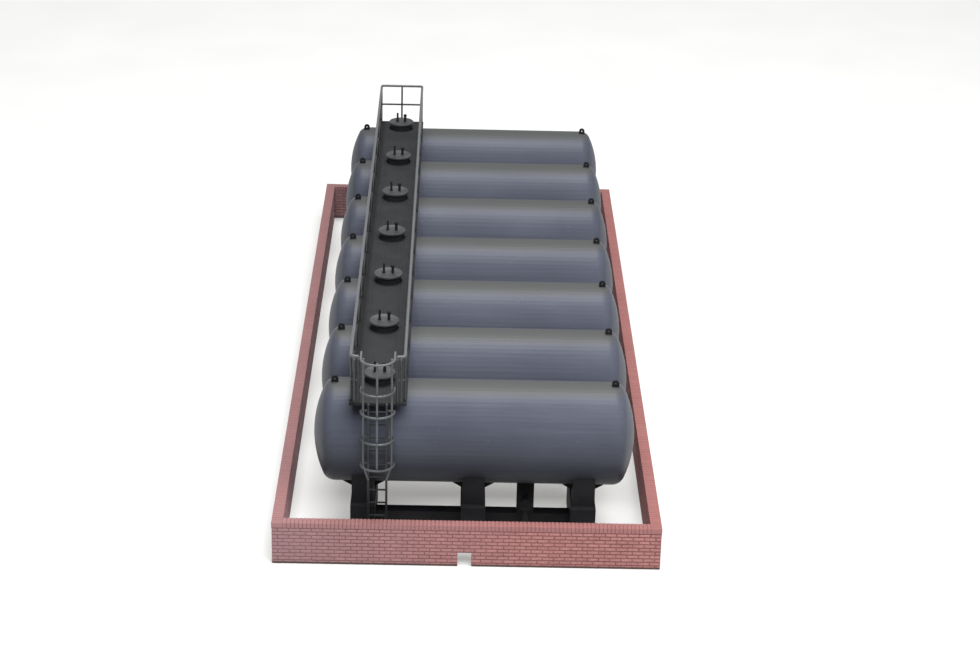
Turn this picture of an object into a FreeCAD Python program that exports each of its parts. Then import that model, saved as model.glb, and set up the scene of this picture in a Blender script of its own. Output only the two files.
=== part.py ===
import FreeCAD, Part
import math
import os
from Sketcher import Constraint

# Model railway oil depot: seven storage tanks on saddles inside a loose brick bund,
# with a walkway, a caged ladder and handrails along their tops.
# Frame: millimetres, +X along the tanks, +Y away from the ladder end, +Z up.
# The origin is on the table, at the middle of the bund's footprint.

DIMENSIONS = {
    # bund
    "bund_width": (102.0, "outside, along the tanks"),
    "bund_length": (257.5, "outside, along the row"),
    "bund_thickness": (2.8, "one stretcher leaf and its print wall"),
    "bund_courses": (10, "stretcher courses below the coping"),
    "brick_course": (1.05, "height of one course"),
    "coping_height": (1.6, "brick-on-edge course"),
    "coping_overhang": (0.1, "proud of the wall on both sides"),
    "notch_width": (3.7, "drain notch in the front wall"),
    "notch_height": (4.0, "drain notch in the front wall"),
    "notch_shift": (-0.5, "notch centre from the middle of the wall"),
    # tank bank
    "bank_shift": (1.6, "the loose bank stands this far to the right"),
    "tank_count": (7, "tanks in the row"),
    "tank_pitch": (34.7, "from axis to axis"),
    "tank_radius": (13.8, "outside"),
    "tank_half_length": (42.8, "middle to the crown of an end"),
    "tank_wall": (1.2, "printed skin"),
    "crown_radius": (27.6, "dished end, one tank diameter"),
    "knuckle_radius": (3.4, "dished end, corner"),
    "tank_axis_height": (27.7, "above the table"),
    # supports
    "saddle_inset": (13.4, "outer saddles from the crown of the tank's end"),
    "saddle_width": (5.9, "along the tank"),
    "saddle_depth": (22.0, "across the tank"),
    "plinth_margin": (0.3, "plinth wider than the saddle, each side"),
    "plinth_step": (1.8, "plinth deeper than the saddle, front and back"),
    "plinth_height": (11.2, "above the table"),
    "pad_flare": (2.6, "wear pad beyond the saddle, each side"),
    "pad_depth": (10.0, "wear pad across the tank"),
    "pad_rise": (1.5, "sloping underside of the wear pad"),
    "pad_edge": (0.7, "straight edge of the wear pad"),
    "beam_depth": (3.6, "tie beam across the tank"),
    "beam_height": (4.0, "tie beam above the table"),
    # outlets
    "outlet_shift": (14.2, "outlet box from the middle of the tank"),
    "outlet_width": (4.6, "outlet box along the tank"),
    "drain_height": (8.6, "axis of the drain stub"),
    "drain_reach": (4.6, "down pipe in front of the tank's middle"),
    "drain_radius": (0.85, "drain stub and down pipe"),
    "flange_radius": (1.7, "blank flange on the drain"),
    "flange_thickness": (0.8, "blank flange on the drain"),
    # lifting lugs
    "lug_inset": (5.5, "lugs from the crown of the tank's end"),
    "lug_width": (1.9, "along the tank"),
    "lug_thickness": (0.7, "across the tank"),
    "lug_height": (1.8, "above the tank's top line"),
    "lug_hole_radius": (0.25, "shackle hole"),
    # walkway
    "walkway_inset": (17.4, "walkway, ladder and manholes from the tanks' left crowns"),
    "deck_width": (15.0, "outside"),
    "deck_thickness": (0.8, "plate"),
    "deck_nose": (0.85, "deck in front of the first tank's side"),
    "deck_back": (7.1, "deck behind the last tank's axis"),
    "rail_height": (13.0, "top rail above the deck"),
    "mid_rail_height": (6.3, "middle rail above the deck"),
    "rail_inset": (0.5, "rail centre line inside the deck's edge"),
    "top_rail_radius": (0.4, "top rail rod"),
    "rail_rod_radius": (0.3, "posts and middle rail"),
    "rail_corner": (1.0, "bend radius of the rails in plan"),
    "rail_corner_share": (0.6, "most that a bend may take of a short end rail"),
    "post_count": (14, "posts along each side"),
    # manholes
    "neck_radius": (3.7, "manhole neck"),
    "neck_top": (1.7, "neck above the deck's top"),
    "neck_clearance": (0.2, "between a neck and its hole in the deck"),
    "lid_radius": (4.2, "manhole lid"),
    "lid_thickness": (0.7, "manhole lid"),
    "pin_spread": (1.3, "dip pipe and vent from the lid's centre"),
    "dip_pipe_height": (3.0, "above the lid"),
    "dip_pipe_radius": (0.33, "thin pipe on the left"),
    "vent_height": (2.6, "above the lid, to the cap's top"),
    "vent_radius": (0.42, "thicker pipe on the right"),
    "vent_cap_radius": (0.6, "round cap of the vent"),
    # ladder and cage
    "ladder_spacing": (4.8, "between the stringers' centre lines"),
    "stringer_width": (0.6, "along the tank"),
    "stringer_depth": (1.0, "across the tank"),
    "rung_radius": (0.25, "rung rod"),
    "rung_pitch": (3.78, "from rung to rung"),
    "first_rung": (2.2, "above the table"),
    "hoop_radius": (4.4, "to the rod's centre line"),
    "hoop_rod_radius": (0.3, "hoops and straps"),
    "hoop_forward": (0.8, "hoop centre in front of the deck's edge"),
    "hoop_reach": (3.3, "top hoop's arms behind the deck's edge"),
    "hoop_corner": (0.5, "bend of a lower hoop in to the stringers"),
    "hoop_low": (25.1, "lowest hoop above the table"),
    "hoop_pitch": (7.6, "between the three lower hoops"),
    "hoop_above_deck": (4.2, "fourth hoop above the deck"),
    "strap_clearance": (0.02, "between a strap and the hoops around it"),
    "strap_angle": (79.0, "side straps from the front strap, degrees"),
    "strap_foot_drop": (4.4, "side straps' slanting feet below the lowest hoop"),
}

TANK_COUNT = int(DIMENSIONS["tank_count"][0])
POST_COUNT = int(DIMENSIONS["post_count"][0])
RUNG_COUNT = 11

doc = FreeCAD.newDocument("oil_depot")
sheet = doc.addObject("Spreadsheet::Sheet", "Dims")
for line, (alias, (value, note)) in enumerate(DIMENSIONS.items(), start=1):
    sheet.set("A%d" % line, alias)
    sheet.set("B%d" % line, str(value))
    sheet.set("C%d" % line, note)
    sheet.setAlias("B%d" % line, alias)
doc.recompute()

# Places that several pieces share, as expressions over the sheet.
BANK_X = "Dims.bank_shift"
WALKWAY_X = "(Dims.bank_shift - Dims.tank_half_length + Dims.walkway_inset)"
TANK_TOP = "(Dims.tank_axis_height + Dims.tank_radius)"
DECK_TOP = "(%s + Dims.deck_thickness)" % TANK_TOP
ROW_HALF = "((Dims.tank_count - 1) * Dims.tank_pitch / 2)"
DECK_FRONT_Y = "(-%s - Dims.tank_radius - Dims.deck_nose)" % ROW_HALF
DECK_BACK_Y = "(%s + Dims.deck_back)" % ROW_HALF
RAIL_TOP = "(%s + Dims.rail_height)" % DECK_TOP
RAIL_MIDDLE = "(%s + Dims.mid_rail_height)" % DECK_TOP
RAIL_HALF = "(Dims.deck_width / 2 - Dims.rail_inset)"
END_RAIL_INNER = ("(Dims.hoop_radius + Dims.hoop_rod_radius + Dims.rail_rod_radius"
                  " + 2 * Dims.strap_clearance)")
RAIL_BEND = "min(Dims.rail_corner; Dims.rail_corner_share * (%s - %s))" % (RAIL_HALF, END_RAIL_INNER)
RAIL_FRONT_Y = "(%s + Dims.rail_inset)" % DECK_FRONT_Y
RAIL_BACK_Y = "(%s - Dims.rail_inset)" % DECK_BACK_Y
HOOP_Y = "(%s - Dims.hoop_forward)" % DECK_FRONT_Y
LADDER_Y = "(%s - Dims.stringer_depth / 2)" % DECK_FRONT_Y
SADDLE_SPREAD = "(Dims.tank_half_length - Dims.saddle_inset)"
LUG_SPREAD = "(Dims.tank_half_length - Dims.lug_inset)"
BUND_TOP = "(Dims.bund_courses * Dims.brick_course)"
STRAP_CIRCLE = "(Dims.hoop_radius - 2 * Dims.hoop_rod_radius - Dims.strap_clearance)"

AXIS_ROTATIONS = {
    "x": FreeCAD.Rotation(FreeCAD.Vector(0, 1, 0), 90),
    "y": FreeCAD.Rotation(FreeCAD.Vector(1, 0, 0), -90),
    "z": FreeCAD.Rotation(),
}

nodes = []


def tankY(number):
    """Axis of a tank, counted from 1 at the ladder end."""
    return "((%d - 1) * Dims.tank_pitch - %s)" % (number, ROW_HALF)


def bind(thing, sizes, place):
    for prop, text in sizes.items():
        thing.setExpression(prop, text)
    for letter, text in zip("xyz", place):
        thing.setExpression("Placement.Base.%s" % letter, text)
    return thing


def block(name, size, corner):
    thing = doc.addObject("Part::Box", name)
    return bind(thing, dict(zip(("Length", "Width", "Height"), size)), corner)


def centredBlock(name, size, middle, bottom):
    """A block centred on a point in plan, standing on a height."""
    corner = ["%s - (%s) / 2" % (at, wide) for at, wide in zip(middle, size)]
    return block(name, size, corner + [bottom])


def rod(name, axis, radius, length, start):
    thing = doc.addObject("Part::Cylinder", name)
    thing.Placement = FreeCAD.Placement(FreeCAD.Vector(), AXIS_ROTATIONS[axis])
    return bind(thing, {"Radius": radius, "Height": length}, start)


def ball(name, radius, place):
    thing = doc.addObject("Part::Sphere", name)
    return bind(thing, {"Radius": radius}, place)


def bend(name, bendRadius, rodRadius, sweep, turn, centre):
    """Part of a ring lying flat: it starts at the turn and sweeps on from there."""
    thing = doc.addObject("Part::Torus", name)
    thing.Angle3 = sweep
    thing.Placement = FreeCAD.Placement(
        FreeCAD.Vector(), FreeCAD.Rotation(FreeCAD.Vector(0, 0, 1), turn))
    return bind(thing, {"Radius1": bendRadius, "Radius2": rodRadius}, centre)


def fuse(name, things):
    thing = doc.addObject("Part::MultiFuse", name)
    thing.Shapes = things
    return thing


def cut(name, base, tool):
    thing = doc.addObject("Part::Cut", name)
    thing.Base = base
    thing.Tool = tool
    return thing


def group(name, things):
    thing = doc.addObject("Part::Compound", name)
    thing.Links = things
    return thing


def node(thing, label):
    thing.Label = label
    nodes.append(thing)


def value(expression):
    """The number that an expression over the sheet gives now."""
    return float(sheet.evalExpression(expression))


def dishedProfile(body, name, inset):
    """Half outline of a tank in the body's XZ plane, drawn in by an inset."""
    radius = "Dims.tank_radius - %s" % inset
    reach = "Dims.tank_half_length - %s" % inset
    crown = "Dims.crown_radius - %s" % inset
    knuckle = "Dims.knuckle_radius - %s" % inset
    r, reachNow, c, k = value(radius), value(reach), value(crown), value(knuckle)
    crownX = reachNow - c
    knuckleX = crownX + math.sqrt((c - k) ** 2 - (r - k) ** 2)
    meet = math.atan2(r - k, knuckleX - crownX)

    def arc(x, y, size, first, last):
        circle = Part.Circle(FreeCAD.Vector(x, y, 0), FreeCAD.Vector(0, 0, 1), size)
        return Part.ArcOfCircle(circle, first, last)

    sketch = body.newObject("Sketcher::SketchObject", name)
    plane = [f for f in body.Origin.OriginFeatures if f.Role == "XZ_Plane"][0]
    sketch.AttachmentSupport = [(plane, "")]
    sketch.MapMode = "FlatFace"
    axisLine = Part.LineSegment(FreeCAD.Vector(-reachNow, 0, 0), FreeCAD.Vector(reachNow, 0, 0))
    topLine = Part.LineSegment(FreeCAD.Vector(knuckleX, r, 0), FreeCAD.Vector(-knuckleX, r, 0))
    sketch.addGeometry([
        axisLine,
        arc(crownX, 0, c, 0, meet),
        arc(knuckleX, r - k, k, meet, math.pi / 2),
        topLine,
        arc(-knuckleX, r - k, k, math.pi / 2, math.pi - meet),
        arc(-crownX, 0, c, math.pi - meet, math.pi),
    ])
    constrain = sketch.addConstraint
    constrain(Constraint("Coincident", 0, 2, 1, 1))
    constrain(Constraint("Tangent", 1, 2, 2, 1))
    constrain(Constraint("Tangent", 2, 2, 3, 1))
    constrain(Constraint("Tangent", 3, 2, 4, 1))
    constrain(Constraint("Tangent", 4, 2, 5, 1))
    constrain(Constraint("Coincident", 5, 2, 0, 1))
    constrain(Constraint("Symmetric", 0, 1, 0, 2, -1, 1))
    constrain(Constraint("PointOnObject", 0, 2, -1))
    constrain(Constraint("PointOnObject", 1, 3, -1))
    constrain(Constraint("PointOnObject", 5, 3, -1))
    constrain(Constraint("Equal", 1, 5))
    constrain(Constraint("Equal", 2, 4))
    constrain(Constraint("Horizontal", 3))
    driven = {
        "reach": (Constraint("DistanceX", -1, 1, 0, 2, reachNow), reach),
        "girth": (Constraint("DistanceY", -1, 1, 3, 1, r), radius),
        "crown": (Constraint("Radius", 1, c), crown),
        "knuckle": (Constraint("Radius", 2, k), knuckle),
    }
    for label, (constraint, text) in driven.items():
        index = constrain(constraint)
        sketch.renameConstraint(index, label)
        sketch.setExpression("Constraints.%s" % label, text)
    return sketch


def makeTank(number):
    """Hollow tank: an outer turned shape with an inner one turned out of it."""
    body = doc.addObject("PartDesign::Body", "Tank%d" % number)
    outer = dishedProfile(body, "TankOuter%d" % number, "0 * Dims.tank_wall")
    turned = body.newObject("PartDesign::Revolution", "TankTurned%d" % number)
    turned.Profile = outer
    turned.ReferenceAxis = (outer, ["H_Axis"])
    turned.Angle = 360
    doc.recompute()
    inner = dishedProfile(body, "TankInner%d" % number, "Dims.tank_wall")
    hollow = body.newObject("PartDesign::Groove", "TankHollow%d" % number)
    hollow.Profile = inner
    hollow.ReferenceAxis = (inner, ["H_Axis"])
    hollow.Angle = 360
    bind(body, {}, (BANK_X, tankY(number), "Dims.tank_axis_height"))
    node(body, "tank_%d" % number)


def tankSpace(name, number):
    """The straight run of a tank, to shape what seats on it."""
    start = ("%s - Dims.tank_half_length" % BANK_X, tankY(number), "Dims.tank_axis_height")
    return rod(name, "x", "Dims.tank_radius", "2 * Dims.tank_half_length", start)


def makeSaddle(name, number, shift):
    middle = ("%s + %s" % (BANK_X, shift), tankY(number))
    padBottom = "(Dims.tank_axis_height - Dims.tank_radius - Dims.pad_rise + Dims.pad_edge)"
    width = "Dims.saddle_width"
    flared = "(Dims.saddle_width + 2 * Dims.pad_flare)"
    plinth = centredBlock(
        name + "Plinth",
        (width + " + 2 * Dims.plinth_margin", "Dims.saddle_depth + 2 * Dims.plinth_step",
         "Dims.plinth_height"), middle, "0")
    web = centredBlock(
        name + "Web", (width, "Dims.saddle_depth", "Dims.tank_axis_height - Dims.plinth_height"),
        middle, "Dims.plinth_height")
    slope = doc.addObject("Part::Wedge", name + "Slope")
    slope.Placement = FreeCAD.Placement(
        FreeCAD.Vector(), FreeCAD.Rotation(FreeCAD.Vector(1, 0, 0), 90))
    bind(slope, {
        "Xmin": "-%s / 2" % width, "Xmax": "%s / 2" % width,
        "X2min": "-%s / 2" % flared, "X2max": "%s / 2" % flared,
        "Ymin": "0", "Ymax": "Dims.pad_rise",
        "Zmin": "-Dims.pad_depth / 2", "Zmax": "Dims.pad_depth / 2",
        "Z2min": "-Dims.pad_depth / 2", "Z2max": "Dims.pad_depth / 2",
    }, middle + (padBottom,))
    edge = centredBlock(
        name + "Edge", (flared, "Dims.pad_depth", "Dims.pad_edge"), middle,
        "%s + Dims.pad_rise" % padBottom)
    blank = fuse(name + "Blank", [plinth, web, slope, edge])
    return cut(name, blank, tankSpace(name + "Seat", number))


def makeSaddles(number):
    """Three separate saddles, each on its plinth, under one tank."""
    shifts = ("-" + SADDLE_SPREAD, "0", SADDLE_SPREAD)
    saddles = [makeSaddle("Saddle%d%s" % (number, letter), number, shift)
               for letter, shift in zip("ABC", shifts)]
    node(group("Saddles%d" % number, saddles), "saddles_%d" % number)


def makeTieBeams():
    """Low beams between the plinths, two to each tank."""
    beams = []
    length = "(%s - Dims.saddle_width - 2 * Dims.plinth_margin)" % SADDLE_SPREAD
    for number in range(1, TANK_COUNT + 1):
        for letter, sign in (("A", "-"), ("B", "+")):
            middle = ("%s %s %s / 2" % (BANK_X, sign, SADDLE_SPREAD), tankY(number))
            size = (length, "Dims.beam_depth", "Dims.beam_height")
            beams.append(centredBlock("Beam%d%s" % (number, letter), size, middle, "0"))
    node(group("TieBeams", beams), "tie_beams")


def makeOutletBoxes():
    boxes = []
    for number in range(1, TANK_COUNT + 1):
        middle = ("%s + Dims.outlet_shift" % BANK_X, tankY(number))
        size = ("Dims.outlet_width", "Dims.beam_depth", "Dims.tank_axis_height - Dims.beam_height")
        blank = centredBlock("Outlet%dBlank" % number, size, middle, "Dims.beam_height")
        boxes.append(cut("Outlet%d" % number, blank, tankSpace("Outlet%dSeat" % number, number)))
    node(group("OutletBoxes", boxes), "outlet_boxes")


def makeDrainPipes():
    """A stub from each outlet box, a blank flange on its front and a pipe down to the table."""
    drains = []
    x = "%s + Dims.outlet_shift" % BANK_X
    for number in range(1, TANK_COUNT + 1):
        name = "Drain%d" % number
        pipeY = "(%s - Dims.drain_reach)" % tankY(number)
        flangeBack = "(%s - Dims.drain_radius)" % pipeY
        stub = rod(name + "Stub", "y", "Dims.drain_radius",
                   "Dims.drain_reach + Dims.drain_radius - Dims.beam_depth / 2",
                   (x, flangeBack, "Dims.drain_height"))
        flange = rod(name + "Flange", "y", "Dims.flange_radius", "Dims.flange_thickness",
                     (x, "%s - Dims.flange_thickness" % flangeBack, "Dims.drain_height"))
        pipe = rod(name + "Pipe", "z", "Dims.drain_radius", "Dims.drain_height",
                   (x, pipeY, "0"))
        drains.append(fuse(name, [stub, flange, pipe]))
    node(group("DrainPipes", drains), "drain_pipes")


def makeLug(name, number, shift):
    x = "%s + %s" % (BANK_X, shift)
    eyeHeight = "%s + Dims.lug_height - Dims.lug_width / 2" % TANK_TOP
    plate = centredBlock(
        name + "Plate",
        ("Dims.lug_width", "Dims.lug_thickness", "Dims.lug_height - Dims.lug_width / 2 + Dims.tank_wall"),
        (x, tankY(number)), "%s - Dims.tank_wall" % TANK_TOP)
    backY = "%s - Dims.lug_thickness / 2" % tankY(number)
    crown = rod(name + "Crown", "y", "Dims.lug_width / 2", "Dims.lug_thickness",
                (x, backY, eyeHeight))
    hole = rod(name + "Hole", "y", "Dims.lug_hole_radius", "Dims.lug_thickness", (x, backY, eyeHeight))
    solid = fuse(name + "Solid", [plate, crown])
    seated = cut(name + "Seated", solid, tankSpace(name + "Seat", number))
    return cut(name, seated, hole)


def makeLugs():
    lugs = []
    for number in range(1, TANK_COUNT + 1):
        lugs.append(makeLug("Lug%dA" % number, number, "-" + LUG_SPREAD))
        lugs.append(makeLug("Lug%dB" % number, number, LUG_SPREAD))
    node(group("LiftingLugs", lugs), "lifting_lugs")


def makeNeck(number):
    """Manhole neck: its foot follows the tank and its top stands above the deck."""
    start = (WALKWAY_X, tankY(number), "Dims.tank_axis_height")
    length = "%s + Dims.neck_top - Dims.tank_axis_height" % DECK_TOP
    blank = rod("Neck%dBlank" % number, "z", "Dims.neck_radius", length, start)
    neck = cut("Neck%d" % number, blank, tankSpace("Neck%dSeat" % number, number))
    node(neck, "manhole_neck_%d" % number)


def makeLid(number):
    """Manhole lid with a thin dip pipe and a capped vent."""
    name = "Lid%d" % number
    bottom = "%s + Dims.neck_top" % DECK_TOP
    top = "%s + Dims.lid_thickness" % bottom
    left = "%s - Dims.pin_spread" % WALKWAY_X
    right = "%s + Dims.pin_spread" % WALKWAY_X
    y = tankY(number)
    disc = rod(name + "Disc", "z", "Dims.lid_radius", "Dims.lid_thickness", (WALKWAY_X, y, bottom))
    dip = rod(name + "Dip", "z", "Dims.dip_pipe_radius", "Dims.dip_pipe_height", (left, y, top))
    vent = rod(name + "Vent", "z", "Dims.vent_radius", "Dims.vent_height - Dims.vent_cap_radius",
               (right, y, top))
    cap = ball(name + "Cap", "Dims.vent_cap_radius",
               (right, y, "%s + Dims.vent_height - Dims.vent_cap_radius" % top))
    node(fuse(name, [disc, dip, vent, cap]), "manhole_lid_%d" % number)


def makeDeck():
    length = "%s - %s" % (DECK_BACK_Y, DECK_FRONT_Y)
    plate = block("DeckPlate", ("Dims.deck_width", length, "Dims.deck_thickness"),
                  ("%s - Dims.deck_width / 2" % WALKWAY_X, DECK_FRONT_Y, TANK_TOP))
    holes = [rod("DeckHole%d" % number, "z", "Dims.neck_radius + Dims.neck_clearance",
                 "Dims.deck_thickness", (WALKWAY_X, tankY(number), TANK_TOP))
             for number in range(1, TANK_COUNT + 1)]
    node(cut("Deck", plate, fuse("DeckHoles", holes)), "walkway_deck")


def post(name, x, y):
    return rod(name, "z", "Dims.rail_rod_radius", "Dims.rail_height", (x, y, DECK_TOP))


def makeHandrail(label, sign):
    """Side railing: a top rail, a middle rail and evenly spaced posts."""
    x = "%s %s %s" % (WALKWAY_X, sign, RAIL_HALF)
    startY = "(%s + %s)" % (RAIL_FRONT_Y, RAIL_BEND)
    length = "(%s - %s - 2 * %s)" % (RAIL_BACK_Y, RAIL_FRONT_Y, RAIL_BEND)
    name = label.title().replace("_", "")
    parts = [
        rod(name + "Top", "y", "Dims.top_rail_radius", length, (x, startY, RAIL_TOP)),
        rod(name + "Middle", "y", "Dims.rail_rod_radius", length, (x, startY, RAIL_MIDDLE)),
    ]
    step = "(%s - 2 * Dims.top_rail_radius) / (Dims.post_count - 1)" % length
    for index in range(POST_COUNT):
        y = "%s + Dims.top_rail_radius + %d * %s" % (startY, index, step)
        parts.append(post("%sPost%d" % (name, index), x, y))
    node(fuse(name, parts), label)


def makeEndRail(label, sign, turn):
    """Short railing across the front of the deck, from a bent corner to the cage."""
    name = label.title().replace("_", "")
    bendX = "(%s %s (%s - %s))" % (WALKWAY_X, sign, RAIL_HALF, RAIL_BEND)
    bendY = "(%s + %s)" % (RAIL_FRONT_Y, RAIL_BEND)
    innerX = "(%s %s %s)" % (WALKWAY_X, sign, END_RAIL_INNER)
    middleX = "(%s %s (%s + %s) / 2)" % (WALKWAY_X, sign, END_RAIL_INNER, RAIL_HALF)
    length = "(%s - %s - %s)" % (RAIL_HALF, RAIL_BEND, END_RAIL_INNER)
    lowX = bendX if sign == "-" else innerX
    parts = [post(name + "Inner", innerX, RAIL_FRONT_Y), post(name + "Middle", middleX, RAIL_FRONT_Y)]
    for word, radius, height in (("Top", "Dims.top_rail_radius", RAIL_TOP),
                                 ("Mid", "Dims.rail_rod_radius", RAIL_MIDDLE)):
        parts.append(bend(name + word + "Bend", RAIL_BEND, radius, 90, turn,
                          (bendX, bendY, height)))
        parts.append(rod(name + word + "Rod", "x", radius, length, (lowX, RAIL_FRONT_Y, height)))
    node(fuse(name, parts), label)


def makeBackGuard():
    """Railing across the far end, bent at both corners, with a post in its middle."""
    bendY = "(%s - %s)" % (RAIL_BACK_Y, RAIL_BEND)
    reach = "(%s - %s)" % (RAIL_HALF, RAIL_BEND)
    parts = [post("GuardPost", WALKWAY_X, RAIL_BACK_Y)]
    for word, radius, height in (("Top", "Dims.top_rail_radius", RAIL_TOP),
                                 ("Mid", "Dims.rail_rod_radius", RAIL_MIDDLE)):
        leftX = "%s - %s" % (WALKWAY_X, reach)
        rightX = "%s + %s" % (WALKWAY_X, reach)
        parts.append(bend("GuardLeft" + word, RAIL_BEND, radius, 90, 90,
                          (leftX, bendY, height)))
        parts.append(bend("GuardRight" + word, RAIL_BEND, radius, 90, 0,
                          (rightX, bendY, height)))
        parts.append(rod("GuardRod" + word, "x", radius, "2 * %s" % reach,
                         (leftX, RAIL_BACK_Y, height)))
    node(fuse("BackGuard", parts), "back_guard_rail")


def makeLadder():
    stringers = []
    for letter, sign in (("A", "-"), ("B", "+")):
        middle = ("%s %s Dims.ladder_spacing / 2" % (WALKWAY_X, sign), LADDER_Y)
        size = ("Dims.stringer_width", "Dims.stringer_depth", DECK_TOP)
        stringers.append(centredBlock("Stringer" + letter, size, middle, "0"))
    node(group("Stringers", stringers), "ladder_stringers")
    length = "(Dims.ladder_spacing - Dims.stringer_width)"
    rungs = []
    for index in range(RUNG_COUNT):
        start = ("%s - %s / 2" % (WALKWAY_X, length), LADDER_Y,
                 "Dims.first_rung + %d * Dims.rung_pitch" % index)
        rungs.append(rod("Rung%d" % index, "x", "Dims.rung_radius", length, start))
    node(group("Rungs", rungs), "ladder_rungs")


def hoopArc(name, height):
    return bend(name, "Dims.hoop_radius", "Dims.hoop_rod_radius", 180, 180,
                (WALKWAY_X, HOOP_Y, height))


def makeOpenHoop(label, height, armLength):
    """A hoop above the deck, whose arms run back beside the end rails."""
    name = label.title().replace("_", "")
    parts = [hoopArc(name + "Arc", height)]
    for letter, sign in (("A", "-"), ("B", "+")):
        x = "%s %s Dims.hoop_radius" % (WALKWAY_X, sign)
        parts.append(rod(name + "Arm" + letter, "y", "Dims.hoop_rod_radius", armLength,
                         (x, HOOP_Y, height)))
        parts.append(ball(name + "End" + letter, "Dims.hoop_rod_radius",
                          (x, "%s + %s" % (HOOP_Y, armLength), height)))
    node(fuse(name, parts), label)


def makeLadderHoop(label, height):
    """A hoop below the deck, whose ends turn in to the stringers."""
    name = label.title().replace("_", "")
    gap = "((Dims.ladder_spacing + Dims.stringer_width) / 2)"
    reach = "(Dims.hoop_radius - Dims.hoop_corner)"
    tangY = "%s + Dims.hoop_corner" % HOOP_Y
    parts = [hoopArc(name + "Arc", height)]
    for letter, sign, turn, lowX in (("A", "-", 90, "%s - %s" % (WALKWAY_X, reach)),
                                     ("B", "+", 0, "%s + %s" % (WALKWAY_X, gap))):
        corner = ("%s %s %s" % (WALKWAY_X, sign, reach), HOOP_Y, height)
        parts.append(bend(name + "Corner" + letter, "Dims.hoop_corner", "Dims.hoop_rod_radius",
                          90, turn, corner))
        parts.append(rod(name + "Tang" + letter, "x", "Dims.hoop_rod_radius",
                         "(%s - %s)" % (reach, gap), (lowX, tangY, height)))
    node(fuse(name, parts), label)


def strapFoot(name, sign):
    """Slanting foot of a side strap, from the lowest hoop in to the stringer's face."""
    side = 1 if sign == "+" else -1
    angle = math.radians(value("Dims.strap_angle"))
    circle = value(STRAP_CIRCLE)
    rodRadius = value("Dims.hoop_rod_radius")
    top = FreeCAD.Vector(
        value(WALKWAY_X) + side * circle * math.sin(angle),
        value(HOOP_Y) - circle * math.cos(angle),
        value("Dims.hoop_low") - rodRadius)
    bottom = FreeCAD.Vector(
        value(WALKWAY_X) + side * value("Dims.ladder_spacing / 2"),
        value(LADDER_Y) - value("Dims.stringer_depth / 2") - rodRadius,
        value("Dims.hoop_low - Dims.strap_foot_drop"))
    run = bottom - top
    foot = doc.addObject("Part::Feature", name)
    foot.Shape = Part.makeCylinder(rodRadius, run.Length, top, run).fuse(
        [Part.makeSphere(rodRadius, top), Part.makeSphere(rodRadius, bottom)])
    return foot


def makeStraps():
    """Upright straps inside the hoops: one in front and one at each side."""
    bottom = "Dims.hoop_low - Dims.hoop_rod_radius"
    length = "%s - Dims.hoop_low + 2 * Dims.hoop_rod_radius" % RAIL_TOP
    front = rod("StrapFront", "z", "Dims.hoop_rod_radius", length,
                (WALKWAY_X, "%s - %s" % (HOOP_Y, STRAP_CIRCLE), bottom))
    straps = [front]
    for word, sign in (("Left", "-"), ("Right", "+")):
        x = "%s %s %s * sin(Dims.strap_angle * 1 deg)" % (WALKWAY_X, sign, STRAP_CIRCLE)
        y = "%s - %s * cos(Dims.strap_angle * 1 deg)" % (HOOP_Y, STRAP_CIRCLE)
        upright = rod("Strap" + word + "Rod", "z", "Dims.hoop_rod_radius", length, (x, y, bottom))
        straps.append(fuse("Strap" + word, [upright, strapFoot("Strap" + word + "Foot", sign)]))
    node(group("CageStraps", straps), "cage_straps")


def makeCage():
    makeOpenHoop("cage_hoop_5", RAIL_TOP, "(Dims.hoop_forward + Dims.hoop_reach)")
    makeOpenHoop("cage_hoop_4", "(%s + Dims.hoop_above_deck)" % DECK_TOP,
                 "(Dims.hoop_forward + Dims.rail_inset)")
    for index in range(3):
        makeLadderHoop("cage_hoop_%d" % (index + 1), "(Dims.hoop_low + %d * Dims.hoop_pitch)" % index)
    makeStraps()


def makeBundWalls():
    """Four brick walls: front and back run the full width, the sides stand between them."""
    halfWidth, halfLength = "Dims.bund_width / 2", "Dims.bund_length / 2"
    thick = "Dims.bund_thickness"
    sideLength = "(Dims.bund_length - 2 * Dims.bund_thickness)"
    frontBlank = block("BundFrontBlank", ("Dims.bund_width", thick, BUND_TOP),
                       ("-" + halfWidth, "-" + halfLength, "0"))
    notch = centredBlock("BundNotch", ("Dims.notch_width", thick, "Dims.notch_height"),
                         ("Dims.notch_shift", "(-Dims.bund_length + Dims.bund_thickness) / 2"), "0")
    node(cut("BundFront", frontBlank, notch), "bund_wall_front")
    node(block("BundBack", ("Dims.bund_width", thick, BUND_TOP),
               ("-" + halfWidth, "%s - %s" % (halfLength, thick), "0")), "bund_wall_back")
    sideY = "-%s + %s" % (halfLength, thick)
    node(block("BundLeft", (thick, sideLength, BUND_TOP),
               ("-" + halfWidth, sideY, "0")), "bund_wall_left")
    node(block("BundRight", (thick, sideLength, BUND_TOP),
               ("%s - %s" % (halfWidth, thick), sideY, "0")), "bund_wall_right")


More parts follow.
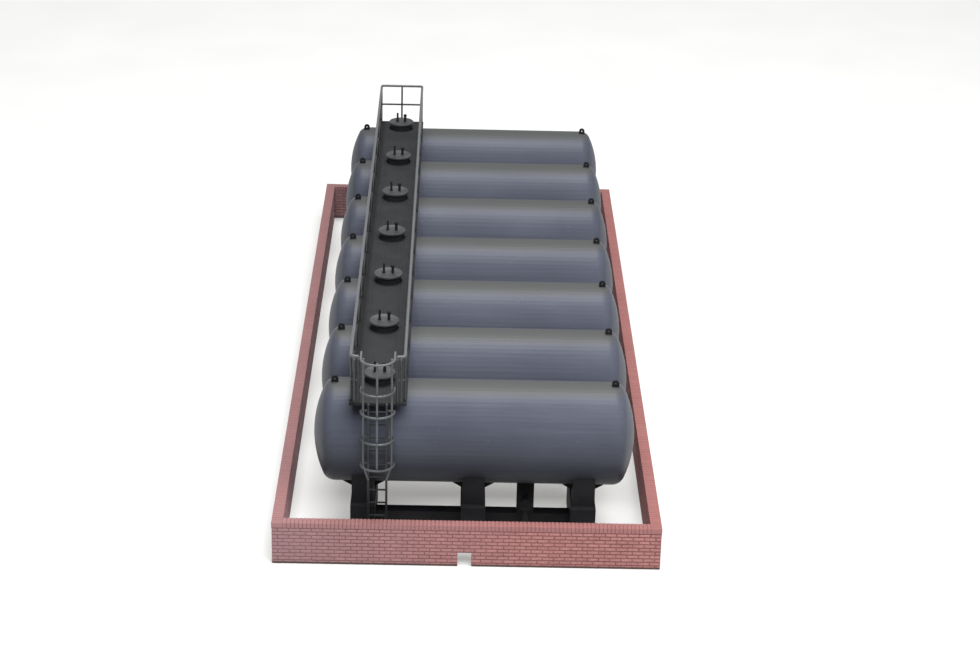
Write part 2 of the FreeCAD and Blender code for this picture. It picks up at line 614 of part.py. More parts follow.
def makeCoping():
    """Brick-on-edge coping, slightly proud of the walls: the sides run the full length."""
    over = "Dims.coping_overhang"
    wide = "(Dims.bund_thickness + 2 * Dims.coping_overhang)"
    full = "(Dims.bund_length + 2 * Dims.coping_overhang)"
    endLength = "(Dims.bund_width - 2 * Dims.bund_thickness - 2 * Dims.coping_overhang)"
    tall = "Dims.coping_height"
    left = "-Dims.bund_width / 2 - %s" % over
    right = "Dims.bund_width / 2 + %s - %s" % (over, wide)
    front = "-Dims.bund_length / 2 - %s" % over
    back = "Dims.bund_length / 2 + %s - %s" % (over, wide)
    endX = "-Dims.bund_width / 2 + Dims.bund_thickness + %s" % over
    node(block("CopingFront", (endLength, wide, tall), (endX, front, BUND_TOP)), "bund_coping_front")
    node(block("CopingBack", (endLength, wide, tall), (endX, back, BUND_TOP)), "bund_coping_back")
    node(block("CopingLeft", (wide, full, tall), (left, front, BUND_TOP)), "bund_coping_left")
    node(block("CopingRight", (wide, full, tall), (right, front, BUND_TOP)), "bund_coping_right")


for tankNumber in range(1, TANK_COUNT + 1):
    makeTank(tankNumber)
    makeSaddles(tankNumber)
    makeNeck(tankNumber)
    makeLid(tankNumber)
makeTieBeams()
makeOutletBoxes()
makeDrainPipes()
makeLugs()
makeDeck()
makeHandrail("handrail_left", "-")
makeHandrail("handrail_right", "+")
makeEndRail("end_rail_left", "-", 180)
makeEndRail("end_rail_right", "+", 270)
makeBackGuard()
makeLadder()
makeCage()
makeBundWalls()
makeCoping()
doc.recompute()

for thing in doc.Objects:
    if "Invalid" in thing.State or "Error" in thing.State:
        raise RuntimeError("%s did not compute: %s" % (thing.Name, thing.State))
for thing in nodes:
    if thing.Shape.isNull() or not thing.Shape.isValid():
        raise RuntimeError("%s has no valid shape" % thing.Label)

os.makedirs("parts", exist_ok=True)
for thing in nodes:
    thing.Shape.exportStep("parts/%s.step" % thing.Label)
print("%d nodes written" % len(nodes))
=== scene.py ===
import math
import random

import bmesh
import bpy
from mathutils import Matrix, Vector


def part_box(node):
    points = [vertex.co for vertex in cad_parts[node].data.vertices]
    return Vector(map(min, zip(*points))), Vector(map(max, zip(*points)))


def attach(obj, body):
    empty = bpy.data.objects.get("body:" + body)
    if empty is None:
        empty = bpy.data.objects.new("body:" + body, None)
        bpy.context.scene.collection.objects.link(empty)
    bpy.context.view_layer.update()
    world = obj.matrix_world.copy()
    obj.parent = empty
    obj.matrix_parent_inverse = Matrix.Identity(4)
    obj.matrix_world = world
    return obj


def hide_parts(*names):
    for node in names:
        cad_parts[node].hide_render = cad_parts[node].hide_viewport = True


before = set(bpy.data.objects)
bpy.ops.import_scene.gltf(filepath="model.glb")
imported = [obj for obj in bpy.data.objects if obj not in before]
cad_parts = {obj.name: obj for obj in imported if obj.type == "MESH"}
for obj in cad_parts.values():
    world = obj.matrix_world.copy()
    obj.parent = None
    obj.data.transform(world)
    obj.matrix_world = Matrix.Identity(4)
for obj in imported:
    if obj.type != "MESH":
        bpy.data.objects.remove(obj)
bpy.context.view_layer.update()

mm = 0.001
weldDistance = 0.001 * mm
sharpAngle = 0.6
flatAngle = 0.02
tankCount = len([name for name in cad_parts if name.startswith("tank_")])
print("frame loaded,", tankCount, "tanks")


# finishes: maths on a socket, and one way to make any node

class Socket:
    def __init__(self, finish, link):
        self.finish = finish
        self.link = link

    def __add__(self, other):
        return self.finish.maths("ADD", self, other)

    def __radd__(self, other):
        return self.finish.maths("ADD", other, self)

    def __sub__(self, other):
        return self.finish.maths("SUBTRACT", self, other)

    def __rsub__(self, other):
        return self.finish.maths("SUBTRACT", other, self)

    def __mul__(self, other):
        return self.finish.maths("MULTIPLY", self, other)

    def __rmul__(self, other):
        return self.finish.maths("MULTIPLY", other, self)

    def __truediv__(self, other):
        return self.finish.maths("DIVIDE", self, other)

    def __rtruediv__(self, other):
        return self.finish.maths("DIVIDE", other, self)


class Finish:
    def __init__(self, name):
        self.material = bpy.data.materials.new(name)
        self.material.use_nodes = True
        self.tree = self.material.node_tree
        self.tree.nodes.clear()
        self.place = self.node("TexCoord", output="Object")

    def node(self, kind, settings=None, inputs=None, output=0):
        made = self.tree.nodes.new("ShaderNode" + kind)
        for key, value in (settings or {}).items():
            setattr(made, key, value)
        for key, value in (inputs or {}).items():
            if isinstance(value, Socket):
                self.tree.links.new(value.link, made.inputs[key])
            else:
                made.inputs[key].default_value = value
        return Socket(self, made.outputs[output]) if made.outputs else None

    def axis(self, letter):  # place along one axis, in millimetres
        return self.node("SeparateXYZ", inputs={0: self.place}, output=letter) / mm

    def stretched(self, size):  # the place, counted in grains of this size
        scale = [1 / (length * mm) for length in size]
        return self.node("Mapping", inputs={"Vector": self.place, "Scale": scale})

    def noise(self, size, detail=2.0, rough=0.5):
        grain = size if isinstance(size, tuple) else (size, size, size)
        inputs = {"Vector": self.stretched(grain), "Scale": 1.0, "Detail": detail, "Roughness": rough}
        return self.node("TexNoise", inputs=inputs)

    def specks(self, size, share):  # one on a few scattered spots, nought elsewhere
        inputs = {"Vector": self.stretched((size, size, size)), "Scale": 1.0}
        near = self.node("TexVoronoi", inputs=inputs)
        return self.between(near, share, share * 0.5)

    def lines(self, letter, pitch):  # fine ridges, one to a pitch along an axis
        return self.maths("SINE", self.axis(letter) * (2 * math.pi / pitch)) * 0.5 + 0.5

    def maths(self, operation, *values):
        return self.node("Math", {"operation": operation}, dict(enumerate(values)))

    def between(self, value, low, high):  # nought at low and one at high
        inputs = {"Value": value, "From Min": low, "From Max": high}
        return self.node("MapRange", {"clamp": True}, inputs)

    def mix(self, share, first, second):
        inputs = {0: share, 6: first, 7: second}
        return self.node("Mix", {"data_type": "RGBA"}, inputs, output=2)

    def shaded(self, pattern, colours):  # dark to light over the middle of a pattern
        return self.mix(self.between(pattern, 0.35, 0.65), colours["dark"], colours["light"])

    def attribute(self, name):
        return self.node("Attribute", {"attribute_name": name}, output="Fac")

    def bump(self, height, depth, below=None):
        inputs = {"Height": height, "Distance": depth * mm, "Strength": 1.0}
        if below:
            inputs["Normal"] = below
        return self.node("Bump", inputs=inputs)

    def surface(self, **inputs):
        named = {key.replace("_", " "): value for key, value in inputs.items()}
        shader = self.node("BsdfPrincipled", inputs=named)
        self.node("OutputMaterial", inputs={"Surface": shader})
        return self.material


def paint(red, green, blue):  # a colour as a screen names it, 0 to 255
    def straight(level):
        share = level / 255
        return share / 12.92 if share <= 0.04045 else ((share + 0.055) / 1.055) ** 2.4
    return (straight(red), straight(green), straight(blue), 1.0)


tankPaint = {
    "dark": paint(50, 52, 61), "light": paint(59, 62, 71), "dust": paint(92, 92, 96),
    # painted shade: a darker colour laid on the tank's underside, by height
    "undersideShade": paint(30, 31, 35), "undersideShadeTop": 35.0, "undersideShadeFull": 20.0,
    # painted reflection: a greyer tint laid on the top strip of the tank
    "topSheen": paint(55, 55, 52), "topSheenFrom": 40.0, "topSheenFull": 41.2,
    "cloud": 22.0, "streak": (30.0, 0.9, 0.9), "grain": 0.25, "speck": 3.2, "speckShare": 0.09,
    "dustPatch": 6.0, "layer": 0.2, "roughness": 0.45, "gloss": 0.14,
}


def makeTankFinish():
    p = tankPaint
    finish = Finish("tankSlateGrey")
    clouds = finish.noise(p["cloud"], detail=4.0)
    streaks = finish.noise(p["streak"], detail=3.0, rough=0.6)
    grain = finish.noise(p["grain"])
    dusty = finish.between(finish.noise(p["dustPatch"]), 0.5, 0.62)
    dust = finish.specks(p["speck"], p["speckShare"]) * dusty
    tone = clouds * 0.55 + streaks * 0.45
    colour = finish.mix(finish.between(tone, 0.32, 0.68), p["dark"], p["light"])
    colour = finish.mix(dust * 0.5, colour, p["dust"])
    height = finish.axis("Z") + clouds * 3.0
    # painted shade: the lower flats are darkened by height
    undersideShade = finish.between(height, p["undersideShadeTop"], p["undersideShadeFull"])
    colour = finish.mix(undersideShade * 0.6, colour, p["undersideShade"])
    # painted reflection: the top strip of the tank is tinted by height
    topSheen = finish.between(finish.axis("Z"), p["topSheenFrom"], p["topSheenFull"])
    colour = finish.mix(topSheen * (0.6 + grain * 0.4), colour, p["topSheen"])
    layers = finish.lines("Z", p["layer"])
    relief = finish.bump(layers * 0.4 + streaks * 0.6, 0.02)
    relief = finish.bump(grain, 0.012, relief)
    rough = p["roughness"] + (streaks - 0.5) * 0.16 + dust * 0.2
    return finish.surface(Base_Color=colour, Roughness=rough, Normal=relief,
                          Specular_IOR_Level=p["gloss"])


blackPlastic = {
    "dark": paint(18, 18, 20), "light": paint(27, 27, 29), "worn": paint(44, 44, 47),
    "cloud": 9.0, "grain": 0.3, "layer": 0.2, "roughness": 0.6, "gloss": 0.15,
}


def makeBlackFinish():
    p = blackPlastic
    finish = Finish("blackPrintedPlastic")
    clouds = finish.noise(p["cloud"], detail=4.0)
    grain = finish.noise(p["grain"], detail=3.0)
    layers = finish.lines("Z", p["layer"])
    colour = finish.shaded(clouds, p)
    colour = finish.mix(finish.between(grain, 0.6, 0.75) * 0.5, colour, p["worn"])
    relief = finish.bump(layers * 0.5 + grain * 0.5, 0.02)
    rough = p["roughness"] + (clouds - 0.5) * 0.2
    return finish.surface(Base_Color=colour, Roughness=rough, Normal=relief,
                          Specular_IOR_Level=p["gloss"])


deckPaint = {
    "dark": paint(18, 19, 20), "light": paint(26, 27, 28), "stud": paint(36, 37, 38),
    # painted shade: a near black laid along the deck's left edge, under the rail
    "railSideShade": paint(8, 8, 8), "railSideShadeFrom": 2.0, "railSideShadeFull": 1.1, "tread": 0.9, "cloud": 7.0,
    "grain": 0.35, "roughness": 0.62, "gloss": 0.2,
}


def makeDeckFinish():
    p = deckPaint
    finish = Finish("walkwayTreadGrey")
    clouds = finish.noise(p["cloud"], detail=4.0)
    grain = finish.noise(p["grain"])
    across = finish.lines("X", p["tread"])
    along = finish.lines("Y", p["tread"])
    tread = finish.between(across * along, 0.35, 0.7)
    colour = finish.shaded(clouds, p)
    colour = finish.mix(tread * 0.35, colour, p["stud"])
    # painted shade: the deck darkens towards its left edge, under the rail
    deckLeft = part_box("walkway_deck")[0].x / mm
    fromLeft = finish.axis("X") - deckLeft - clouds * 0.4
    railSideShade = finish.between(fromLeft, p["railSideShadeFrom"], p["railSideShadeFull"])
    colour = finish.mix(railSideShade * 0.9, colour, p["railSideShade"])
    relief = finish.bump(tread, 0.05)
    relief = finish.bump(grain, 0.02, relief)
    rough = p["roughness"] + (clouds - 0.5) * 0.2
    return finish.surface(Base_Color=colour, Roughness=rough, Normal=relief,
                          Specular_IOR_Level=p["gloss"])


railPaint = {
    # painted highlight: a lighter colour laid on the rail tops, by height
    "dark": paint(24, 25, 26), "light": paint(34, 35, 36), "topHighlight": paint(66, 67, 69),
    "topHighlightFrom": 54.3, "topHighlightTo": 54.8, "cloud": 5.0, "grain": 0.3,
    "roughness": 0.38, "gloss": 0.5,
}
cagePaint = dict(railPaint, dark=paint(48, 49, 51), light=paint(60, 61, 63), gloss=0.6)
ladderPaint = dict(railPaint, dark=paint(22, 22, 24), light=paint(32, 32, 34), gloss=0.4)


def makeRailFinish(name, colours):
    finish = Finish(name)
    clouds = finish.noise(colours["cloud"], detail=3.0)
    grain = finish.noise(colours["grain"], detail=3.0)
    colour = finish.shaded(clouds, colours)
    # painted highlight: the top of each rail is painted lighter
    height = finish.axis("Z") + grain * 0.2
    topHighlightShare = finish.between(height, colours["topHighlightFrom"], colours["topHighlightTo"])
    colour = finish.mix(topHighlightShare, colour, colours["topHighlight"])
    relief = finish.bump(grain, 0.02)
    rough = colours["roughness"] + (clouds - 0.5) * 0.2
    return finish.surface(Base_Color=colour, Roughness=rough, Normal=relief,
                          Specular_IOR_Level=colours["gloss"])


lidPaint = {
    "dark": paint(38, 39, 39), "light": paint(49, 49, 50), "cloud": 3.0, "grain": 0.3,
    "roughness": 0.5, "gloss": 0.35,
}


def makeLidFinish():
    p = lidPaint
    finish = Finish("manholeLidGrey")
    clouds = finish.noise(p["cloud"], detail=4.0)
    grain = finish.noise(p["grain"], detail=3.0)
    colour = finish.shaded(clouds, p)
    relief = finish.bump(grain, 0.02)
    rough = p["roughness"] + (clouds - 0.5) * 0.2
    return finish.surface(Base_Color=colour, Roughness=rough, Normal=relief,
                          Specular_IOR_Level=p["gloss"])


brickPaint = {
    "edge": paint(100, 66, 65), "dark": paint(110, 68, 66), "light": paint(142, 95, 92),
    # the lighter brick middle colour is partly wear, partly a painted highlight
    "worn": paint(170, 130, 129), "grey": paint(116, 98, 102), "baseGrimeAndShade": paint(40, 40, 36),
    # painted light: the coping top is painted darker and its sides lighter, setting lit tones
    "copingTop": paint(106, 70, 67), "copingSide": paint(138, 99, 99), "topSkin": 0.12,
    # the dark base colour and heights: grime and an unpainted base edge, with painted contact shadow
    # at the foot
    "baseShadeHeight": 1.6, "baseShadeFull": 0.4, "footHeight": 0.75, "greySide": 34.0, "patch": 26.0,
    "blotch": 2.4, "grain": 0.45, "roughness": 0.88, "gloss": 0.25,
}


def makeBrickFinish(name, fired):  # fired: how far a coping brick differs from a wall brick
    p = brickPaint
    finish = Finish(name)
    tone = finish.attribute("brickTone")
    centre = finish.attribute("brickCentre")
    patches = finish.noise(p["patch"], detail=3.0)
    grain = finish.noise(p["grain"], detail=4.0, rough=0.65)
    blotches = finish.noise(p["blotch"])
    shade = finish.between(tone * 0.35 + blotches * 0.6 + grain * 0.6, 0.4, 1.15)
    colour = finish.mix(shade, p["dark"], p["light"])
    colour = finish.mix((1 - centre) * 0.6, colour, p["edge"])
    # the raised middles are painted lighter: partly wear, partly a painted highlight
    colour = finish.mix(centre * finish.between(grain, 0.35, 0.65) * 0.4, colour, p["worn"])
    wash = finish.between(finish.axis("X") + patches * p["greySide"], p["greySide"], -p["greySide"])
    colour = finish.mix(wash * 0.6, colour, p["grey"])
    height = finish.axis("Z")
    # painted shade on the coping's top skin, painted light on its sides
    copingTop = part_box("bund_coping_front")[1].z / mm
    paintedTopShade = finish.between(height, copingTop - p["topSkin"], copingTop - p["topSkin"] / 2)
    colour = finish.mix(fired, colour, finish.mix(paintedTopShade, p["copingSide"], p["copingTop"]))
    # the wall darkens towards its foot: grime and unpainted edge, with painted contact shadow
    baseGrimeAndShade = finish.between(height + grain * 1.2, p["baseShadeHeight"], p["baseShadeFull"])
    foot = finish.between(height, p["footHeight"], p["footHeight"] * 0.7)
    colour = finish.mix(baseGrimeAndShade * 0.25, colour, p["baseGrimeAndShade"])
    colour = finish.mix(foot * 0.8, colour, p["baseGrimeAndShade"])
    relief = finish.bump(grain, 0.05)
    rough = p["roughness"] + (grain - 0.5) * 0.15
    return finish.surface(Base_Color=colour, Roughness=rough, Normal=relief,
                          Specular_IOR_Level=p["gloss"])


mortarPaint = {
    "dark": paint(94, 66, 65), "light": paint(116, 84, 82), "patch": 14.0, "grain": 0.3,
    "roughness": 0.95, "gloss": 0.15,
}


def makeMortarFinish():
    p = mortarPaint
    finish = Finish("mortarWash")
    patches = finish.noise(p["patch"], detail=3.0)
    grain = finish.noise(p["grain"], detail=3.0)
    colour = finish.shaded(patches * 0.6 + grain * 0.4, p)
    relief = finish.bump(grain, 0.04)
    rough = p["roughness"] - grain * 0.1
    return finish.surface(Base_Color=colour, Roughness=rough, Normal=relief,
                          Specular_IOR_Level=p["gloss"])


finishes = {
    "tank": makeTankFinish(),
    "black": makeBlackFinish(),
    "deck": makeDeckFinish(),
    "rail": makeRailFinish("railGrey", railPaint),
    "cage": makeRailFinish("cageGrey", cagePaint),
    "ladder": makeRailFinish("ladderGrey", ladderPaint),
    "lid": makeLidFinish(),
    "brick": makeBrickFinish("brickStretchers", 0.0),
    "coping": makeBrickFinish("brickCoping", 0.5),
    "mortar": makeMortarFinish(),
}
print("finishes made")


def addPiece(name, bm, body, materials, nodes):
    mesh = bpy.data.meshes.new(name)
    bm.to_mesh(mesh)
    bm.free()
    for material in materials:
        mesh.materials.append(finishes[material])
    piece = bpy.data.objects.new(name, mesh)
    bpy.context.scene.collection.objects.link(piece)
    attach(piece, body)
    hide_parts(*nodes)
    return piece


def addBlock(bm, low, high):  # a plain block between two corners
    size = [top - bottom for bottom, top in zip(low, high)]
    middle = [(top + bottom) / 2 for bottom, top in zip(low, high)]
    matrix = Matrix.Translation(middle) @ Matrix.Diagonal((*size, 1.0))
    return bmesh.ops.create_cube(bm, size=1.0, matrix=matrix)["verts"]


def softenEdges(bm, edges, width, segments=2):
    bmesh.ops.bevel(bm, geom=edges, offset=width, affect="EDGES", segments=segments,
                    profile=0.5, material=-1, clamp_overlap=True)


def sharpEdges(bm):
    return [edge for edge in bm.edges if edge.is_manifold and edge.calc_face_angle() > sharpAngle]


def turned(bm, outline, centre, axis, steps):  # outline: distance along the axis, radius
    side = Vector((0, 0, 1)) if abs(axis.z) < 0.5 else Vector((1, 0, 0))
    verts = [bm.verts.new(centre + axis * along + side * radius) for along, radius in outline]
    edges = [bm.edges.new(pair) for pair in zip(verts, verts[1:])]
    bmesh.ops.spin(bm, geom=verts + edges, cent=centre, axis=axis, angle=2 * math.pi, steps=steps,
                   use_merge=True)
    bmesh.ops.remove_doubles(bm, verts=bm.verts, dist=weldDistance)


# tanks: 64 flats round the barrel, smooth dished ends

tankShape = {
    "flats": 64, "crownRadius": 27.6 * mm, "knuckleRadius": 3.4 * mm, "crownRings": 7,
    "knuckleRings": 6,
}


def dishedEnd(radius, reach):
    crown, knuckle = tankShape["crownRadius"], tankShape["knuckleRadius"]
    crownX = reach - crown
    knuckleX = crownX + math.sqrt((crown - knuckle) ** 2 - (radius - knuckle) ** 2)
    meet = math.atan2(radius - knuckle, knuckleX - crownX)
    outline = []
    for ring in range(tankShape["crownRings"] + 1):
        angle = meet * ring / tankShape["crownRings"]
        outline.append((crownX + crown * math.cos(angle), crown * math.sin(angle)))
    for ring in range(1, tankShape["knuckleRings"] + 1):
        angle = meet + (math.pi / 2 - meet) * ring / tankShape["knuckleRings"]
        outline.append((knuckleX + knuckle * math.cos(angle),
                        radius - knuckle + knuckle * math.sin(angle)))
    return outline


def makeTank(number):
    node = "tank_%d" % number
    low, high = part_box(node)
    centre = (low + high) / 2
    end = dishedEnd((high.z - low.z) / 2, (high.x - low.x) / 2)
    outline = end + [(-along, radius) for along, radius in reversed(end)]
    bm = bmesh.new()
    turned(bm, outline, centre, Vector((1, 0, 0)), tankShape["flats"])
    halfFlat = Matrix.Rotation(math.pi / tankShape["flats"], 3, "X")
    bmesh.ops.rotate(bm, verts=bm.verts, cent=centre, matrix=halfFlat)
    bmesh.ops.recalc_face_normals(bm, faces=bm.faces)
    barrelEnd = end[-1][0]
    for face in bm.faces:
        face.smooth = abs(face.calc_center_median().x - centre.x) > barrelEnd / 2
    addPiece("tankShell%d" % number, bm, "tank_bank", ["tank"], [node])


for number in range(1, tankCount + 1):
    makeTank(number)
print("tanks made")


# saddles: plinth, web with a seat that follows the tank, and a flared wear pad

saddleShape = {
    "width": 5.9 * mm, "depth": 22.0 * mm, "plinthMargin": 0.3 * mm, "plinthStep": 1.8 * mm,
    "plinthTop": 11.2 * mm, "padFlare": 2.6 * mm, "padDepth": 10.0 * mm, "padRise": 1.5 * mm,
    "padEdge": 0.7 * mm, "seatSteps": 18, "edge": 0.14 * mm,
}


def extrude(bm, points, direction, length):  # a flat outline drawn out both ways
    verts = [bm.verts.new(point - direction * length / 2) for point in points]
    face = bm.faces.new(verts)
    grown = bmesh.ops.extrude_face_region(bm, geom=[face])["geom"]
    moved = [item for item in grown if isinstance(item, bmesh.types.BMVert)]
    bmesh.ops.translate(bm, verts=moved, vec=direction * length)


def makeSaddle(bm, middleX, tankLow, tankHigh):
    s = saddleShape
    axis = (tankLow + tankHigh) / 2
    radius = (tankHigh.z - tankLow.z) / 2
    halfDepth = s["depth"] / 2
    plinthX = s["width"] / 2 + s["plinthMargin"]
    plinthY = halfDepth + s["plinthStep"]
    addBlock(bm, (middleX - plinthX, axis.y - plinthY, 0),
             (middleX + plinthX, axis.y + plinthY, s["plinthTop"]))
    reach = math.asin(halfDepth / radius)
    seat = [-reach + 2 * reach * step / s["seatSteps"] for step in range(s["seatSteps"] + 1)]
    web = [Vector((middleX, axis.y + side * halfDepth, s["plinthTop"] - s["edge"]))
           for side in (1, -1)]
    web += [Vector((middleX, axis.y + radius * math.sin(angle), axis.z - radius * math.cos(angle)))
            for angle in seat]
    extrude(bm, web, Vector((1, 0, 0)), s["width"])
    inner, outer = s["width"] / 2, s["width"] / 2 + s["padFlare"]
    padLow = axis.z - radius - s["padRise"] + s["padEdge"]
    padBend = padLow + s["padRise"]
    padTop = padBend + s["padEdge"]
    pad = [(-inner, padLow), (inner, padLow), (outer, padBend), (outer, padTop), (-outer, padTop),
           (-outer, padBend)]
    extrude(bm, [Vector((middleX + x, axis.y, z)) for x, z in pad], Vector((0, 1, 0)), s["padDepth"])


def makeSaddles(number):
    node = "saddles_%d" % number
    low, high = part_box(node)
    tankLow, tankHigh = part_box("tank_%d" % number)
    flared = saddleShape["width"] / 2 + saddleShape["padFlare"]
    bm = bmesh.new()
    for middleX in (low.x + flared, (low.x + high.x) / 2, high.x - flared):
        makeSaddle(bm, middleX, tankLow, tankHigh)
    bmesh.ops.recalc_face_normals(bm, faces=bm.faces)
    softenEdges(bm, sharpEdges(bm), saddleShape["edge"])
    addPiece("saddleSet%d" % number, bm, "tank_bank", ["black"], [node])


for number in range(1, tankCount + 1):
    makeSaddles(number)
print("saddles made")


# blocks and plates that keep their shape and get worn edges

softened = {  # node: name, slot, finish, width of the worn edge
    "tie_beams": ("tieBeams", "black_plastic", "black", 0.12 * mm),
    "outlet_boxes": ("outletBoxes", "black_plastic", "black", 0.12 * mm),
    "ladder_stringers": ("ladderStringers", "rail_grey", "ladder", 0.1 * mm),
    "lifting_lugs": ("liftingLugs", "black_plastic", "black", 0.08 * mm),
    "walkway_deck": ("walkwayDeck", "black_plastic", "deck", 0.12 * mm),
}


def makeSoftened(node, name, material, width):
    bm = bmesh.new()
    bm.from_mesh(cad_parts[node].data)
    bmesh.ops.remove_doubles(bm, verts=bm.verts, dist=weldDistance)
    bmesh.ops.dissolve_limit(bm, angle_limit=flatAngle, verts=bm.verts, edges=bm.edges)
    softenEdges(bm, sharpEdges(bm), width)
    for face in bm.faces:
        face.smooth = False
        face.material_index = 0
    addPiece(name, bm, "tank_bank", [material], [node])


for node, (name, slot, material, width) in softened.items():
    makeSoftened(node, name, material, width)
print("beams, boxes, ladder sides, lugs and deck made")


# drains: a stub with a ringed blank flange, and a pipe down to the table

drainShape = {
    "radius": 0.85 * mm, "axisHeight": 8.6 * mm, "flangeRadius": 1.7 * mm,
    "flangeThickness": 0.8 * mm, "flangeEdge": 0.1 * mm, "ringRadius": 1.0 * mm,
    "ringHeight": 0.12 * mm, "ringInner": 0.6 * mm, "dishRadius": 0.5 * mm, "bolts": 6,
    "boltRadius": 0.16 * mm, "boltTop": 0.128 * mm, "boltHeight": 0.2 * mm, "steps": 32,
}


def makeDrain(bm, pipeX, pipeY, boxY):
    d = drainShape
    back = Vector((pipeX, boxY, d["axisHeight"]))
    face = boxY - pipeY + d["radius"]
    rim, edge = d["flangeRadius"], d["flangeEdge"]
    front = face + d["flangeThickness"]
    blank = front - d["ringHeight"]
    outline = [
        (0, 0), (0, d["radius"]), (face, d["radius"]), (face, rim - edge), (face + edge, rim),
        (blank - edge, rim), (blank, rim - edge), (blank, d["ringRadius"] + edge),
        (front, d["ringRadius"]), (front, d["ringInner"]), (blank, d["dishRadius"]), (blank, 0),
    ]
    turned(bm, outline, back, Vector((0, -1, 0)), d["steps"])
    boltCircle = (rim + d["ringRadius"]) / 2
    for bolt in range(d["bolts"]):
        angle = 2 * math.pi * (bolt + 0.5) / d["bolts"]
        head = Vector((boltCircle * math.cos(angle), -blank, boltCircle * math.sin(angle)))
        matrix = Matrix.Translation(back + head) @ Matrix.Rotation(math.pi / 2, 4, "X")
        bmesh.ops.create_cone(bm, cap_ends=True, segments=6, radius1=d["boltRadius"],
                              radius2=d["boltTop"], depth=d["boltHeight"], matrix=matrix)
    pipe = [(0, 0), (0, d["radius"]), (d["axisHeight"], d["radius"]), (d["axisHeight"], 0)]
    turned(bm, pipe, Vector((pipeX, pipeY, 0)), Vector((0, 0, 1)), d["steps"])


def makeDrains():
    low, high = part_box("drain_pipes")
    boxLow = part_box("outlet_boxes")[0]
    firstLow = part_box("tank_1")[0]
    bm = bmesh.new()
    for number in range(1, tankCount + 1):
        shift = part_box("tank_%d" % number)[0].y - firstLow.y
        pipeY = low.y + drainShape["flangeThickness"] + drainShape["radius"] + shift
        makeDrain(bm, (low.x + high.x) / 2, pipeY, boxLow.y + shift)
    bmesh.ops.recalc_face_normals(bm, faces=bm.faces)
    for face in bm.faces:
        face.smooth = False
    addPiece("drainRuns", bm, "tank_bank", ["black"], ["drain_pipes"])


makeDrains()
print("drains made")


# manhole lids: a thin disc with a rolled rim, a dip pipe and a capped vent

lidShape = {
    "radius": 4.2 * mm, "thickness": 0.7 * mm, "rim": 0.15 * mm, "rimWidth": 0.6 * mm,
    "spread": 1.3 * mm, "dipRadius": 0.33 * mm, "collarRadius": 0.495 * mm,
    "collarSide": 0.198 * mm, "collarTop": 0.297 * mm, "ventHeight": 2.6 * mm,
    "ventRadius": 0.42 * mm, "capRadius": 0.6 * mm, "capFoot": 1.14 * mm,
    "capAngles": (-45, -20, 5, 30, 55, 75), "steps": 48, "pinSteps": 16,
}


def makeLid(number):
    s = lidShape
    node = "manhole_lid_%d" % number
    low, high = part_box(node)
    foot = Vector(((low.x + high.x) / 2, (low.y + high.y) / 2, low.z))
    up = Vector((0, 0, 1))
    bm = bmesh.new()

    radius, rim, thick = s["radius"], s["rim"], s["thickness"]
    middle = thick - rim / 2
    inside = radius - s["rimWidth"]
    disc = [
        (0, 0), (0, radius - rim), (rim, radius), (thick - rim, radius), (thick, radius - rim),
        (thick, inside), (middle, inside - rim), (middle, 0),
    ]
    turned(bm, disc, foot, up, s["steps"])
    discFaces = len(bm.faces)

    reach = high.z - low.z
    pin, collar = s["dipRadius"], s["collarRadius"]
    dipPipe = [
        (thick / 2, 0), (thick / 2, collar), (thick + s["collarSide"], collar),
        (thick + s["collarTop"], pin), (reach - pin / 2, pin), (reach, pin / 2), (reach, 0),
    ]
    turned(bm, dipPipe, foot - Vector((s["spread"], 0, 0)), up, s["pinSteps"])

    reach = thick + s["ventHeight"]
    vent, cap = s["ventRadius"], s["capRadius"]
    stem = [(thick / 2, 0), (thick / 2, vent), (reach - s["capFoot"], vent)]
    angles = [math.radians(degrees) for degrees in s["capAngles"]]
    dome = [(reach - cap + cap * math.sin(angle), cap * math.cos(angle)) for angle in angles]
    turned(bm, stem + dome + [(reach, 0)], foot + Vector((s["spread"], 0, 0)), up, s["pinSteps"])

    bmesh.ops.recalc_face_normals(bm, faces=bm.faces)
    for face in bm.faces:
        face.smooth = abs(face.normal.z) < 0.9
        face.material_index = 0 if face.index < discFaces else 1
    piece = addPiece("manholeLid%d" % number, bm, "tank_bank", ["lid", "black"], [node])
    piece.data.set_sharp_from_angle(angle=sharpAngle)


for number in range(1, tankCount + 1):
    makeLid(number)
print("lids made")


# bund: two leaves of real bricks laid in half bond, round a mortar core

bundShape = {
    "brick": 2.957 * mm, "course": 1.05 * mm, "courses": 10, "leaf": 1.4 * mm,
    "bed": 0.18 * mm, "joint": 0.1 * mm, "recess": 0.1 * mm, "edge": 0.05 * mm,
    "stray": 0.02 * mm, "copingJoint": 0.16 * mm, "copingRecess": 0.22 * mm,
    "copingPitch": 1.04 * mm, "shortest": 0.3 * mm, "crown": 0.2 * mm, "crownRise": 0.02 * mm,
    "copingEdge": 0.08 * mm,
}
dice = random.Random(7)


def crownFaces(bm, side):  # the seen faces get a raised middle, painted lighter: partly wear, partly a painted highlight
    s = bundShape
    centre = bm.verts.layers.float.new("brickCentre")
    along = 0 if side in ("front", "back") else 1
    ends = [vert.co[along] for vert in bm.verts]
    nearEnd = (min(ends) + s["crown"], max(ends) - s["crown"])
    seen = []
    for face in bm.faces:
        spot = face.calc_center_median()[along]
        broad = abs(face.normal[1 - along]) > 0.99
        atEnd = abs(face.normal[along]) > 0.99 and not nearEnd[0] < spot < nearEnd[1]
        if (broad or atEnd) and face.calc_area() > s["crown"] * s["course"]:
            seen.append(face)
    bmesh.ops.inset_individual(bm, faces=seen, thickness=s["crown"], depth=s["crownRise"])
    for vert in {vert for face in seen for vert in face.verts}:
        vert[centre] = 1.0


def addBrick(bm, low, high, layer):
    verts = addBlock(bm, low, high)
    tone = dice.random()
    for face in {face for vert in verts for face in vert.link_faces}:
        face[layer] = tone


